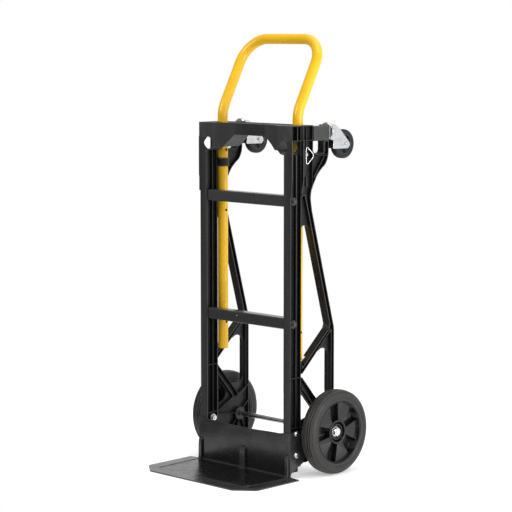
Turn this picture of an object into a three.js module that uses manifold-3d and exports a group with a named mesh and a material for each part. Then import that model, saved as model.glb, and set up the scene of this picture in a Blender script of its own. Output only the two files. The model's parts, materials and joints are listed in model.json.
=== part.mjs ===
// Convertible hand truck: upright two-wheel truck that also lies back on casters as a platform truck.
// Millimetres. X is across, +Y is rearward, +Z is up, and z = 0 is the floor.
// Pieces are laid out from the centre plane and the front faces of the rails, where y = 0. The
// finished truck is then moved along Y, so that its origin is the middle of its footprint.
import * as THREE from 'three';
import { mergeVertices } from 'three/addons/utils/BufferGeometryUtils.js';
import Module from 'manifold-3d';

const wasm = await Module();
wasm.setup();

// ---------------------------------------------------------------- driving dimensions
const GAP = 0.3;                       // air between pieces that touch
const FRAME_TOP = 1062;                // height of the side frames
const RAIL = { in: 165, out: 193, depth: 48, wall: 4 };
const TRUSS = { in: 170, out: 198 };   // flange width of strut and diagonals
const WEB = { in: 181, out: 187 };     // thin mid plate of the truss
const RAIL_WEB = { in: 176, out: 182 };
const FLANGE = 3.2;
const HEAD = { rear: 93, out: 199.5, topOut: 196, step: 1018, foot: 858, shoulder: 900, chamfer: 4 };

const AXLE = { y: 150, z: 129.5, r: 7.9, end: 252 };
const WHEEL = { r: 129.5, in: 212, out: 262, rim: 96, boss: 24, hubRing: 38 };

const LEG = { x: 160, y: 66, r: 15.9, wall: 2, bottom: 352, bend: 1100 };
const GRIP = { y: 181, z: 1316.5, corner: 82, bendR: 90 };
const PIN = { z: 975, r: 4, tip: 176.3, head: 191, end: 198.5, ringX: 194.5 };
const HOUSING = { r: 10, in: 181.3, bore: 8.2, capIn: 189.2, out: 190.4 };
const SOCKET = { x: 160, z: 998, r: 19.5, wall: 3, front: 2, end: 49, webY: 24.3 };

const BAR = { front: 4.7, depth: 31, height: 34, wall: 3 };
const BAR_Z = { upper: 820, lower: 451 };
const BAR_BOLT_Y = 17;

const TOE = { half: 236, depth: 232, t: 4, chamferX: 58, chamferY: 48, backTop: 138, wing: 60, bend: 5 };
const TOE_BOLTS = [134, 69];
const TOE_BOLT_Y = 25;

const CASTER = { x: 184, z: 1041, plateY: 162.6, wheelY: 237, trail: 41, r: 44.5, w: 24, race: 27 };

// ---------------------------------------------------------------- shape helpers
// signed area of an outline, positive where it runs anticlockwise
const area = (points) => points.reduce((sum, [a, b], i) => {
  const [c, d] = points[(i + 1) % points.length];
  return sum + (a * d - c * b) / 2;
}, 0);

const vectors = (points) => {
  const run = area(points) > 0 ? points : points.slice().reverse();
  return run.map(([a, b]) => new THREE.Vector2(a, b));
};

const shapeOf = (points, holes = []) => {
  const shape = new THREE.Shape(vectors(points));
  for (const hole of holes) shape.holes.push(new THREE.Path(vectors(hole)));
  return shape;
};

const placed = (geometry, right, up, out, origin) => {
  const matrix = new THREE.Matrix4().makeBasis(right, up, out).setPosition(origin);
  return geometry.applyMatrix4(matrix);
};

const EX = new THREE.Vector3(1, 0, 0);
const EY = new THREE.Vector3(0, 1, 0);
const EZ = new THREE.Vector3(0, 0, 1);

const extruded = (shape, depth) => new THREE.ExtrudeGeometry(
  shape, { depth, bevelEnabled: false, steps: 1, curveSegments: 12 });

// prism between x0 and x1 from an outline in (y, z)
const prismX = (points, x0, x1, holes) => placed(
  extruded(shapeOf(points, holes), x1 - x0), EY, EZ, EX, new THREE.Vector3(x0, 0, 0));

// prism between y0 and y1 from an outline in (x, z)
const prismY = (points, y0, y1, holes) => placed(
  extruded(shapeOf(points, holes), y1 - y0), EX, EZ, EY.clone().negate(), new THREE.Vector3(0, y1, 0));

// prism between z0 and z1 from an outline in (x, y)
const prismZ = (points, z0, z1, holes) => placed(
  extruded(shapeOf(points, holes), z1 - z0), EX, EY, EZ, new THREE.Vector3(0, 0, z0));

const block = (x0, x1, y0, y1, z0, z1) => new THREE.BoxGeometry(x1 - x0, y1 - y0, z1 - z0)
  .translate((x0 + x1) / 2, (y0 + y1) / 2, (z0 + z1) / 2);

// closed profile of [radius, distance along the axis], turned about X, Y or Z
const turned = (profile, axis, sides, centre = [0, 0, 0]) => {
  const points = vectors(profile);
  const geometry = new THREE.LatheGeometry([...points, points[0].clone()], sides);
  if (axis === 'x') geometry.rotateZ(-Math.PI / 2);
  if (axis === 'z') geometry.rotateX(Math.PI / 2);
  return geometry.translate(...centre);
};

const rod = (axis, r, a0, a1, centre, sides = 16) => turned(
  [[0, a0], [r, a0], [r, a1], [0, a1]], axis, sides, centre);

const tubeRing = (axis, rIn, rOut, a0, a1, centre, sides = 20) => turned(
  [[rIn, a0], [rOut, a0], [rOut, a1], [rIn, a1]], axis, sides, centre);

const arc = (cx, cy, r, from, to, steps) => Array.from({ length: steps + 1 }, (_, i) => {
  const t = THREE.MathUtils.degToRad(from + (to - from) * i / steps);
  return [cx + r * Math.cos(t), cy + r * Math.sin(t)];
});

// outline moved inward by d (outward where d is negative), mitred at its corners
const inset = (points, d) => {
  const sign = Math.sign(area(points));
  const n = points.length;
  const normal = (i) => {
    const [a, b] = points[i];
    const [c, e] = points[(i + 1) % n];
    const length = Math.hypot(c - a, e - b);
    return [-(e - b) / length * sign, (c - a) / length * sign];
  };
  return points.map(([a, b], i) => {
    const [n1, m1] = normal((i + n - 1) % n);
    const [n2, m2] = normal(i);
    const k = d / (1 + n1 * n2 + m1 * m2);
    return [a + (n1 + n2) * k, b + (m1 + m2) * k];
  });
};

// ---------------------------------------------------------------- joining and cutting
const solid = (geometry) => {
  const bare = geometry.clone();
  bare.deleteAttribute('normal');
  bare.deleteAttribute('uv');
  const merged = mergeVertices(bare, 1e-3);
  const index = merged.index.array;
  const triangles = [];
  for (let i = 0; i < index.length; i += 3) {
    const [a, b, c] = [index[i], index[i + 1], index[i + 2]];
    if (a !== b && b !== c && c !== a) triangles.push(a, b, c);
  }
  return new wasm.Manifold(new wasm.Mesh({
    numProp: 3,
    vertProperties: new Float32Array(merged.attributes.position.array),
    triVerts: new Uint32Array(triangles),
  }));
};

// one mesh of the joined body, its flat faces merged
const geometryOf = (body) => {
  const mesh = body.asOriginal().simplify(0.01).getMesh();
  const geometry = new THREE.BufferGeometry();
  geometry.setAttribute('position', new THREE.BufferAttribute(new Float32Array(mesh.vertProperties), 3));
  geometry.setIndex(new THREE.BufferAttribute(new Uint32Array(mesh.triVerts), 1));
  return geometry;
};

// everything in add joined into one body, then everything in cut taken away
const built = (add, cut = []) => {
  let body = solid(add[0]);
  for (const piece of add.slice(1)) body = body.add(solid(piece));
  for (const piece of cut) body = body.subtract(solid(piece));
  return geometryOf(body);
};

const kept = (geometry, inside) => geometryOf(solid(geometry).intersect(solid(inside)));

// the same piece on the other side of the centre plane
const mirrored = (geometry) => {
  const copy = geometry.index ? geometry.clone() : mergeVertices(geometry.clone(), 1e-3);
  copy.scale(-1, 1, 1);
  const index = copy.index.array;
  for (let i = 0; i < index.length; i += 3) {
    [index[i + 1], index[i + 2]] = [index[i + 2], index[i + 1]];
  }
  return copy;
};

// ---------------------------------------------------------------- materials
const finish = (color, roughness, metalness) => new THREE.MeshStandardMaterial({ color, roughness, metalness });
const NYLON = finish(0x202022, 0.5, 0);
const BLACK_STEEL = finish(0x1c1d1f, 0.4, 0.3);
const YELLOW = finish(0xe8b01e, 0.35, 0.1);
const ZINC = finish(0xc3c6c8, 0.3, 0.9);
const SPRING = finish(0x8d9093, 0.35, 0.9);
const RUBBER = finish(0x2b2b2d, 0.85, 0);
const PLASTIC = finish(0x17181a, 0.45, 0);

const truck = new THREE.Group();
const add = (name, geometry, material) => {
  const mesh = new THREE.Mesh(geometry, material);
  mesh.name = name;
  truck.add(mesh);
};

const addPair = (name, geometry, material) => {
  add(`${name}_right`, geometry, material);
  add(`${name}_left`, mirrored(geometry), material);
};

// ---------------------------------------------------------------- side frames
// Each is one moulding: a rail, a sloping rear strut, two diagonals, an axle web and a head.
const FRAME_OUTLINE = [
  [0, 8], [0, FRAME_TOP], [HEAD.rear, FRAME_TOP],
  ...arc(106.4, 989, 13.4, 180, 270, 2), ...arc(130, 989, 13, 270, 360, 2),
  [143, 1013.7], [162, 1013.7], [162, 983], [159.5, 965], [149, 944], [131, 929.5],
  [113, 912], [100.5, 892], [88.5, 871], [84, 850], [85, 832], [90, 804],
  [184, 462], [188.5, 446], [190, 430], [190, 76], [168, 58], [60, 40], [6, 14],
];

// loops that the flanges run round, corner to corner
const STRUT_LOOP = [[RAIL.depth, 333], [165, 439.5], [170, 452], [58, 853], [RAIL.depth, 853]];
const MIDDLE_LOOP = [[RAIL.depth, 314], [176, 434], [176, 208], [146, 192], [RAIL.depth, 304]];
const LOWER_LOOP = [[RAIL.depth, 272], [121, 187], [RAIL.depth, 149]];

// the holes through the mid plate inside those loops, with their corners webbed over
const STRUT_WINDOW = [
  [RAIL.depth + 0.5, 352], [60, 350], [82, 364], [155.6, 431], ...arc(160, 448, 11, -60, 12, 2),
  ...arc(67, 744, 18.4, 15, 180, 5),
];
const MIDDLE_WINDOW = [
  [51, 312], [107, 369], ...arc(148, 354, 27, 130, 0, 4),
  ...arc(157, 246, 18.5, 0, -90, 2), [131, 227], [114, 229], [51, 303],
];
const LOWER_WINDOW = [[50, 262], [99, 207], [98, 193], [84, 178], [50, 168]];

const ring = (loop, width) => prismX(inset(loop, -width), TRUSS.in, TRUSS.out, [loop]);

// a straight rib t thick from p to q, between the planes x0 and x1
const rib = ([y0, z0], [y1, z1], x0 = TRUSS.in, x1 = TRUSS.out, t = FLANGE) => {
  const length = Math.hypot(y1 - y0, z1 - z0);
  const [a, b] = [-(z1 - z0) / length * t / 2, (y1 - y0) / length * t / 2];
  return prismX([[y0 + a, z0 + b], [y0 - a, z0 - b], [y1 - a, z1 - b], [y1 + a, z1 + b]], x0, x1);
};

const sideFrame = () => {
  const behindRail = FRAME_OUTLINE.filter(([y]) => y > RAIL.depth);
  const webOutline = [[RAIL.depth - 2, 34], [RAIL.depth - 2, FRAME_TOP], ...behindRail];
  const web = prismX(webOutline, WEB.in, WEB.out, [STRUT_WINDOW, MIDDLE_WINDOW, LOWER_WINDOW]);
  const rim = prismX(FRAME_OUTLINE, TRUSS.in, TRUSS.out, [inset(FRAME_OUTLINE, FLANGE)]);
  const rail = [
    block(RAIL.in, RAIL.out, 0, RAIL.wall, 8, FRAME_TOP),
    block(RAIL.in, RAIL.out, RAIL.depth - 4, RAIL.depth, 30, FRAME_TOP),
    block(RAIL_WEB.in, RAIL_WEB.out, 1, RAIL.depth - 1, 12, FRAME_TOP),
    block(RAIL.in, RAIL.out, 1, RAIL.depth - 1, 302, 305),
  ];
  // the head is wider than the rail, with a short taper under it and its top corner cut off
  const { rear, out, topOut, step, foot, shoulder, chamfer } = HEAD;
  const headOutline = [
    [RAIL.in, foot], [RAIL.out, foot], [out, shoulder], [out, step], [topOut, step],
    [topOut, FRAME_TOP - chamfer], [topOut - chamfer, FRAME_TOP], [RAIL.in, FRAME_TOP],
  ];
  const wing = [
    [WEB.in, shoulder], [RAIL.out, foot], [out, shoulder], [out, step], [topOut, step],
    [topOut, FRAME_TOP - chamfer], [topOut - chamfer, FRAME_TOP], [WEB.in, FRAME_TOP],
  ];
  const head = [
    prismY(headOutline, 0, RAIL.wall),
    prismY(wing, RAIL.depth + 1.6, RAIL.depth + 1.6 + FLANGE),
    block(RAIL_WEB.in, out - 3, 1, rear - 1, step - 2, step + 1),
    block(WEB.in, out - 3, rear - FLANGE, rear, 872, FRAME_TOP),
    block(RAIL_WEB.in, topOut - chamfer, 1, rear - 1, FRAME_TOP - 3, FRAME_TOP),
  ];
  const hub = [AXLE.y, AXLE.z];
  const axleWeb = [
    rib([46, 142.3], [188, 217]),
    rod('x', 20, TRUSS.in - 1, TRUSS.out, [0, ...hub], 16),
  ];
  const bosses = Object.values(BAR_Z).map((z) => rod(
    'x', 12.5, RAIL_WEB.in + 1, RAIL.out - 1, [0, BAR_BOLT_Y - 1, z + BAR.height / 2], 10));
  const toeBosses = TOE_BOLTS.map((z) => rod('x', 9, RAIL.in, RAIL.out, [0, TOE_BOLT_Y, z], 8));
  const holes = [
    rod('x', AXLE.r + 0.4, 150, 220, [0, ...hub], 16),
    rod('y', SOCKET.r, -5, SOCKET.end, [SOCKET.x, 0, SOCKET.z], 20),
    rod('x', SOCKET.r, RAIL_WEB.in - 1, RAIL_WEB.out + 1, [0, SOCKET.webY, SOCKET.z], 20),
    ...Object.values(BAR_Z).map((z) => rod('x', 4.3, 150, 200, [0, BAR_BOLT_Y, z + BAR.height / 2], 8)),
    ...TOE_BOLTS.map((z) => rod('x', 4.3, 150, 200, [0, TOE_BOLT_Y, z], 8)),
    rod('x', HOUSING.r + 0.4, 150, 200, [0, LEG.y, PIN.z], 20),
    // room for the handle leg, inboard of the mid plate
    block(140, WEB.in, LEG.y - LEG.r - 0.6, LEG.y + LEG.r + 1.2, LEG.bottom - 6, 1100),
    // seat for the toe plate's wing, and room for the crossbar ends
    block(RAIL.out, TRUSS.out + 2, -1, TOE.wing + 2, 0, 146),
  ];
  return built(
    [web, rim, ...rail, ...head, ring(STRUT_LOOP, FLANGE), ring(MIDDLE_LOOP, FLANGE),
      ring(LOWER_LOOP, FLANGE), ...axleWeb, ...bosses, ...toeBosses], holes);
};
addPair('side_frame', sideFrame(), NYLON);

// ---------------------------------------------------------------- top crossmember
// A box open at the rear, arched between its ends and bowed back along its front. A cup behind each
// round hole takes a leg of the handle when the truck lies back.
const topCrossmember = () => {
  const half = RAIL.in - 0.5;
  const rear = 92;
  const endHeight = 987;
  const archHeight = 1026;
  const wall = 4;
  const bow = [[142, 0], [132, 6], [116, 14], [64, 23]];
  const front = [[half, 0], ...bow, ...bow.slice().reverse().map(([x, y]) => [-x, y]), [-half, 0]];
  const arch = [
    [-half - 1, endHeight], [-112, endHeight], [-66, archHeight], [66, archHeight],
    [112, endHeight], [half + 1, endHeight], [half + 1, FRAME_TOP], [-half - 1, FRAME_TOP],
  ];
  const boxed = (to, outline, d) => kept(
    prismZ(inset([...front, [-half, to], [half, to]], d), endHeight - 7, FRAME_TOP),
    prismY(inset(outline, d), -1, to + 1));
  const sides = [-1, 1];
  const cups = sides.map((s) => kept(
    tubeRing('y', SOCKET.r - 0.5, SOCKET.r + SOCKET.wall, SOCKET.front, SOCKET.end, [s * SOCKET.x, 0, SOCKET.z], 24),
    block(-half, half, 0, 100, 900, FRAME_TOP - 1)));
  const cuts = [];
  for (const s of sides) {
    const [y0, y1] = [LEG.y - LEG.r - 0.8, LEG.y + LEG.r + 0.8];
    cuts.push(rod('y', SOCKET.r, -5, SOCKET.end + 1, [s * SOCKET.x, 0, SOCKET.z], 24));
    cuts.push(rod('z', LEG.r + 0.8, 900, 1100, [s * LEG.x, LEG.y, 0], 24));
    cuts.push(block(s * 170 - 8, s * 170 + 8, y0, y1, 900, 1100));
  }
  const open = geometryOf(solid(boxed(rear, arch, 0)).subtract(solid(boxed(rear + 2 * wall, arch, wall))));
  return built([open, ...cups], cuts);
};
add('top_crossmember', topCrossmember(), NYLON);

// ---------------------------------------------------------------- crossbars
const crossbar = (z) => {
  const half = RAIL.in - GAP;
  const { front, depth, height, wall } = BAR;
  const shell = block(-half, half, front, front + depth, z, z + height);
  const cuts = [
    block(-half + wall, half - wall, front + wall, front + depth + 1, z + wall, z + height - wall),
    ...[-1, 1].map((s) => rod('x', 4.3, -8, 8, [s * half, BAR_BOLT_Y, z + height / 2], 12)),
  ];
  return built([shell], cuts);
};
add('crossbar_upper', crossbar(BAR_Z.upper), BLACK_STEEL);
add('crossbar_lower', crossbar(BAR_Z.lower), BLACK_STEEL);

// ---------------------------------------------------------------- toe plate
const toePlate = () => {
  const { half, depth, t, chamferX, chamferY, backTop, wing, bend: r } = TOE;
  const back = -GAP;
  const frameHalf = RAIL.out + GAP + t;
  const plan = [
    [-half, back - t], [-half, chamferY - depth], [chamferX - half, -depth], [half - chamferX, -depth],
    [half, chamferY - depth], [half, back - t], [frameHalf, back], [-frameHalf, back],
  ];
  const bend = [
    [back, 0], [back, 20], [back - t, 20], ...arc(back - t - r, t + r, r, 0, -90, 5), [back - t - r, 0],
  ];
  const backPlate = [
    [-frameHalf, 1], [frameHalf, 1], [frameHalf, backTop + 2], [150, backTop - 6], [-150, backTop - 6],
    [-frameHalf, backTop + 2],
  ];
  const wingPlate = [[back - t, 2], [back + 4, 16], [wing, 47], [wing, 140], [back - t, 140]];
  // stiffening ridges pressed out of the back, and a crease along each side of the plate
  const face = back - t;
  const ridge = (x, w) => prismX(
    [[face + 1, t - 1], [face + 1, 72], [face - 5, 65], [face - 7, 14], [face - 12, t - 1]], x - w / 2, x + w / 2);
  const joined = [
    prismZ(plan, 0, t),
    prismX(bend, -frameHalf, frameHalf),
    prismY(backPlate, face, back),
    ridge(0, 22),
  ];
  for (const s of [-1, 1]) {
    const [a, b] = [s * (RAIL.out + GAP), s * frameHalf].sort((p, q) => p - q);
    joined.push(prismX(wingPlate, a, b));
    joined.push(ridge(s * 187.5, 13));
    joined.push(block(s * 190 - 3, s * 190 + 3, 50 - depth, -15, t - 1, t + 1.2));
  }
  const cuts = TOE_BOLTS.flatMap((z) => [-1, 1].map(
    (s) => rod('x', 4.3, -10, 10, [s * frameHalf, TOE_BOLT_Y, z], 12)));
  return built(joined, cuts);
};
add('toe_plate', toePlate(), BLACK_STEEL);

// ---------------------------------------------------------------- fasteners of the frame
// a hex-headed bolt along X: its flanged head lies outboard of x1, its shank reaches in to x0
const bolt = (x0, x1, y, z, corner, flange) => built([
  rod('x', corner, x1, x1 + 5.4, [0, y, z], 6),
  rod('x', flange, x1, x1 + 1.6, [0, y, z], 16),
  rod('x', 4, x0, x1 + 1, [0, y, z], 8),
]);

const nut = (x0, x1, y, z, bore, across) => built(
  [rod('x', across, x0, x1, [0, y, z], 6)], [rod('x', bore, x0 - 1, x1 + 1, [0, y, z], 8)]);

for (const [level, z] of Object.entries(BAR_Z)) {
  addPair(`crossbar_bolt_${level}`, bolt(
    151, RAIL.out + GAP, BAR_BOLT_Y, z + BAR.height / 2, 6.5, 7.2), BLACK_STEEL);
}
TOE_BOLTS.forEach((z, i) => {
  const name = ['upper', 'lower'][i];
  addPair(`toe_bolt_${name}`, bolt(154, RAIL.out + 2 * GAP + TOE.t, TOE_BOLT_Y, z, 8, 9.5), ZINC);
  addPair(`toe_nut_${name}`, nut(156, RAIL.in - GAP, TOE_BOLT_Y, z, 4.3, 9.5), ZINC);
});

// ---------------------------------------------------------------- axle
add('axle', rod('x', AXLE.r, -AXLE.end, AXLE.end, [0, AXLE.y, AXLE.z], 16), ZINC);
addPair('axle_spacer', tubeRing(
  'x', AXLE.r + GAP, 14, TRUSS.out + GAP, 204.5, [0, AXLE.y, AXLE.z], 16), PLASTIC);
addPair('axle_washer', tubeRing('x', AXLE.r + GAP, 15, 240.4, 242.4, [0, AXLE.y, AXLE.z], 16), ZINC);
addPair('axle_nut', nut(242.7, AXLE.end - 1, AXLE.y, AXLE.z, AXLE.r + 1, 13.5), ZINC);

// ---------------------------------------------------------------- main wheels
const wheelAt = [0, AXLE.y, AXLE.z];
const tyre = () => {
  const { r, in: a, out: b, rim } = WHEEL;
  const mid = (a + b) / 2;
  const half = [
    [rim + GAP, b - 3], [rim + 3, b], [r - 14, b], [r - 5, b - 5], [r, b - 13],
  ];
  const profile = [...half, ...half.slice().reverse().map(([q, x]) => [q, 2 * mid - x])];
  return turned(profile, 'x', 32, wheelAt);
};

const SPOKES = 5;
const hub = () => {
  const { in: a, out: b, rim, boss, hubRing } = WHEEL;
  const rimRing = tubeRing('x', rim - 9, rim, a + 3, b - 3, wheelAt, 32);
  const plate = tubeRing('x', boss - 6, rim - 5, 226, 231, wheelAt, 32);
  const ringWall = tubeRing('x', hubRing - 4, hubRing, 229, 250, wheelAt, 20);
  const core = tubeRing('x', 11.6, boss, 205, 240, wheelAt, 20);
  const spokes = Array.from({ length: SPOKES }, (_, i) => {
    const spoke = block(229, 252, hubRing - 2, rim - 6, -6, 6);
    spoke.rotateX(THREE.MathUtils.degToRad(-3 + i * 360 / SPOKES));
    return spoke.translate(...wheelAt);
  });
  return built([rimRing, plate, ringWall, core, ...spokes]);
};
addPair('wheel_tyre', tyre(), RUBBER);
addPair('wheel_hub', hub(), PLASTIC);
addPair('wheel_bush', tubeRing('x', AXLE.r + GAP, 11.3, 205.5, 239.5, wheelAt, 20), ZINC);

// ---------------------------------------------------------------- handle
// A curve that visits its own points in turn, one at each step.
class StationPath extends THREE.Curve {
  constructor(points) {
    super();
    this.points = points;
  }

  get steps() { return this.points.length - 1; }

  getPointAt(u, target = new THREE.Vector3()) {
    return target.copy(this.points[Math.round(u * this.steps)]);
  }

  getTangentAt(u, target = new THREE.Vector3()) {
    const i = Math.round(u * this.steps);
    const here = this.points[i];
    const into = here.clone().sub(this.points[Math.max(i - 1, 0)]).normalize();
    const out = this.points[Math.min(i + 1, this.steps)].clone().sub(here).normalize();
    return target.copy(into.add(out)).normalize();
  }

  getPoint(u, target) { return this.getPointAt(u, target); }

  getTangent(u, target) { return this.getTangentAt(u, target); }
}

// straight legs, a lean of the upper part, two round corners and a straight grip
const handlePoints = () => {
  const lean = Math.atan2(GRIP.y - LEG.y, GRIP.z - LEG.bend);
  const bendFoot = LEG.bend - GRIP.bendR * Math.tan(lean / 2);
  const points = [new THREE.Vector3(LEG.x, LEG.y, LEG.bottom)];
  for (let i = 0; i <= 3; i++) {
    const t = lean * i / 3;
    points.push(new THREE.Vector3(
      LEG.x, LEG.y + GRIP.bendR * (1 - Math.cos(t)), bendFoot + GRIP.bendR * Math.sin(t)));
  }
  const along = new THREE.Vector3(0, Math.sin(lean), Math.cos(lean));
  for (let i = 0; i <= 5; i++) {
    const t = Math.PI / 2 * i / 5;
    const p = new THREE.Vector3(LEG.x - GRIP.corner * (1 - Math.cos(t)), GRIP.y, GRIP.z);
    points.push(p.addScaledVector(along, GRIP.corner * (Math.sin(t) - 1)));
  }
  return [...points, ...points.slice().reverse().map((p) => new THREE.Vector3(-p.x, p.y, p.z))];
};

const circle = (r, sides) => arc(0, 0, r, 0, 360 - 360 / sides, sides - 1);

const handle = () => {
  const path = new StationPath(handlePoints());
  const section = shapeOf(circle(LEG.r, 12), [circle(LEG.r - LEG.wall, 8)]);
  const tube = new THREE.ExtrudeGeometry(section, { steps: path.steps, extrudePath: path });
  const holes = [-1, 1].flatMap((s) => [436, 787, PIN.z].map(
    (z) => rod('x', 4.6, -20, 20, [s * LEG.x, LEG.y, z], 6)));
  return built([tube], holes);
};
add('handle_tube', handle(), YELLOW);

const GUIDE = { bore: LEG.r + 0.4, out: LEG.r + 4, bottom: 924, top: 950, padHalf: 12 };
const guide = () => built([
  tubeRing('z', GUIDE.bore, GUIDE.out, GUIDE.bottom, GUIDE.top, [LEG.x, LEG.y, 0], 28),
  block(LEG.x + LEG.r - 3, WEB.in - GAP, LEG.y - GUIDE.padHalf, LEG.y + GUIDE.padHalf, GUIDE.bottom, GUIDE.top),
], [
  rod('z', GUIDE.bore, GUIDE.bottom - 4, GUIDE.top + 4, [LEG.x, LEG.y, 0], 28),
  block(RAIL.in - GAP, WEB.in, 0, RAIL.depth + GAP, GUIDE.bottom - 4, GUIDE.top + 4),
]);
addPair('handle_guide', guide(), NYLON);

// ---------------------------------------------------------------- lock pins
const pinAt = [0, LEG.y, PIN.z];
const pinHousing = tubeRing('x', HOUSING.bore, HOUSING.r, HOUSING.in, HOUSING.out, pinAt, 20);
const pinCap = tubeRing('x', PIN.r + 0.4, HOUSING.r - 0.5, HOUSING.capIn, HOUSING.out, pinAt, 20);
addPair('pin_housing', built([pinHousing, pinCap]), NYLON);

// the pin's collar, which the spring pushes inboard
const COLLAR = { r: 7.6, in: 181.6, out: 182.8 };
const lockPin = () => built([
  turned([
    [0, PIN.tip], [2.6, PIN.tip], [PIN.r, PIN.tip + 1.7], [PIN.r, COLLAR.in], [COLLAR.r, COLLAR.in],
    [COLLAR.r, COLLAR.out], [PIN.r, COLLAR.out], [PIN.r, PIN.head], [5.6, PIN.head], [5.6, PIN.end],
    [0, PIN.end],
  ], 'x', 16, pinAt),
], [rod('z', 2.1, -10, 10, [PIN.ringX, LEG.y, PIN.z], 10)]);
addPair('lock_pin', lockPin(), ZINC);

const SPRING_COIL = { turns: 2.5, r: 5.9, wire: 0.4, start: 183.5, end: 188.7 };
class SpringPath extends THREE.Curve {
  getPoint(u, target = new THREE.Vector3()) {
    const { turns, r, start, end } = SPRING_COIL;
    const t = u * turns * 2 * Math.PI;
    return target.set(start + u * (end - start), LEG.y + r * Math.cos(t), PIN.z + r * Math.sin(t));
  }
}
const spring = new THREE.ExtrudeGeometry(shapeOf(circle(SPRING_COIL.wire, 4)), {
  steps: SPRING_COIL.turns * 8, extrudePath: new SpringPath() });
addPair('pin_spring', spring, SPRING);

// wire pull ring: a straight side through the pin's head and a bow that rests on the rear flange
const RING_SWING = THREE.MathUtils.degToRad(11.5);
const ringPoints = [
  [0, -4], [0, -19], [1, -25], [6, -28], [14, -20.5], [22, -12], [26, -5], [22.5, 4], [14, 13], [6, 20.5],
  [1.5, 20.5], [0, 16], [0, -2],
].map(([y, z]) => new THREE.Vector3(
  PIN.ringX + y * Math.sin(RING_SWING), LEG.y + y * Math.cos(RING_SWING), PIN.z + z));
const pullRing = new THREE.ExtrudeGeometry(
  shapeOf(circle(1.5, 6)), { steps: ringPoints.length - 1, extrudePath: new StationPath(ringPoints) });
addPair('pull_ring', pullRing, ZINC);

// ---------------------------------------------------------------- casters
// Swivel axis along Y; the fork trails downward and carries a wheel that turns about X.
const casterBracket = () => {
  const { x, z, plateY } = CASTER;
  const outline = [[170, 1014], [200, 1014], [200, 1058], [168, 1058], [168, 1020]];
  return built(
    [prismY(outline, HEAD.rear + GAP, plateY - GAP)],
    [block(173, 196, HEAD.rear + 4, plateY + 1, 1018, 1054),
      rod('y', 9, 100, 200, [x, 0, z], 16)]);
};
addPair('caster_bracket', casterBracket(), NYLON);

const casterPlate = () => {
  const { x, z, plateY } = CASTER;
  const at = [x, 0, z];
  const outline = [[x - 28, z - 22], [x + 16, z - 22], [x + 16, z + 20], [x - 28, z + 20]];
  return built([
    prismY(outline, plateY, plateY + 3),
    rod('y', CASTER.race, plateY + 2.5, plateY + 5.8, at, 28),
    rod('y', 5, plateY - 12, plateY + 14, at, 12),
    rod('y', 9, plateY + 13, plateY + 17, at, 6),
  ]);
};
addPair('caster_plate', casterPlate(), ZINC);

const casterFork = () => {
  const { x, z, plateY, wheelY, trail, w } = CASTER;
  const inner = w / 2 + 2;
  const legZ = z - trail;
  const top = plateY + 7;
  const leg = [
    [top, z - 25], [top, z + 22], [188, z + 21], [211, z + 5], [236, legZ + 21], [253, legZ + 4],
    [255, legZ - 4], [247, legZ - 13.5], [179, legZ - 12.5], [181, legZ + 13],
  ];
  const cap = [[top, z - 25], [top + 3, z - 25], [top + 3, z + 22], [top, z + 22]];
  return built([
    prismX(leg, x - inner - 2.6, x - inner),
    prismX(leg, x + inner, x + inner + 2.6),
    prismX(cap, x - inner - 1, x + inner + 1),
    rod('y', CASTER.race - 0.6, plateY + 6.6, plateY + 9.6, [x, 0, z], 28),
  ], [
    rod('y', 5.4, 150, 190, [x, 0, z], 12),
    rod('x', 4.4, 150, 220, [0, wheelY, legZ], 12),
  ]);
};
addPair('caster_fork', casterFork(), ZINC);

const casterAxle = () => {
  const { x, z, wheelY, trail, w } = CASTER;
  const reach = w / 2 + 2 + 2.6 + GAP;
  return built([
    rod('x', 4, x - reach - 6, x + reach + 1, [0, wheelY, z - trail], 12),
    rod('x', 7.5, x + reach, x + reach + 4.5, [0, wheelY, z - trail], 6),
  ]);
};
addPair('caster_axle', casterAxle(), ZINC);

const casterNut = () => {
  const { x, z, wheelY, trail, w } = CASTER;
  const reach = w / 2 + 2 + 2.6 + GAP;
  return nut(x - reach - 5.5, x - reach, wheelY, z - trail, 4.3, 7.5);
};
addPair('caster_nut', casterNut(), ZINC);

const casterWheelParts = () => {
  const { x, z, wheelY, trail, r, w } = CASTER;
  const at = [x, wheelY, z - trail];
  const h = w / 2;
  const tread = turned([
    [33.4, -h + 1], [36, -h], [r - 3, -h + 1.5], [r, -h + 6], [r, h - 6], [r - 3, h - 1.5],
    [36, h], [33.4, h - 1],
  ], 'x', 24, at);
  const rim = turned([
    [4.4, -h - 1.4], [11, -h - 1.4], [12, -4], [28, -4], [28, -h + 1.5], [33, -h + 1.5],
    [33, h - 1.5], [28, h - 1.5], [28, 4], [12, 4], [11, h + 1.4], [4.4, h + 1.4],
  ], 'x', 20, at);
  return { tread, rim };
};
const { tread: casterTread, rim: casterRim } = casterWheelParts();
addPair('caster_tyre', casterTread, RUBBER);
addPair('caster_hub', casterRim, PLASTIC);

// origin in the middle of the footprint, between the toe's front edge and the casters' rear
truck.position.y = -(CASTER.wheelY + CASTER.r - TOE.depth) / 2;

export default truck;
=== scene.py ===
"""Looks of a convertible hand truck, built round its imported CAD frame.

Shapes are drawn in millimetres in the truck's own layout: x across from the centre plane, y back from
the front faces of the rails, z up from the floor. finished() turns them into metres in the frame's place.
"""

import json
from math import atan2, copysign, cos, hypot, pi, radians, sin, tan

import bmesh
import bpy
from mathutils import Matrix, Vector
from mathutils.geometry import tessellate_polygon

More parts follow.
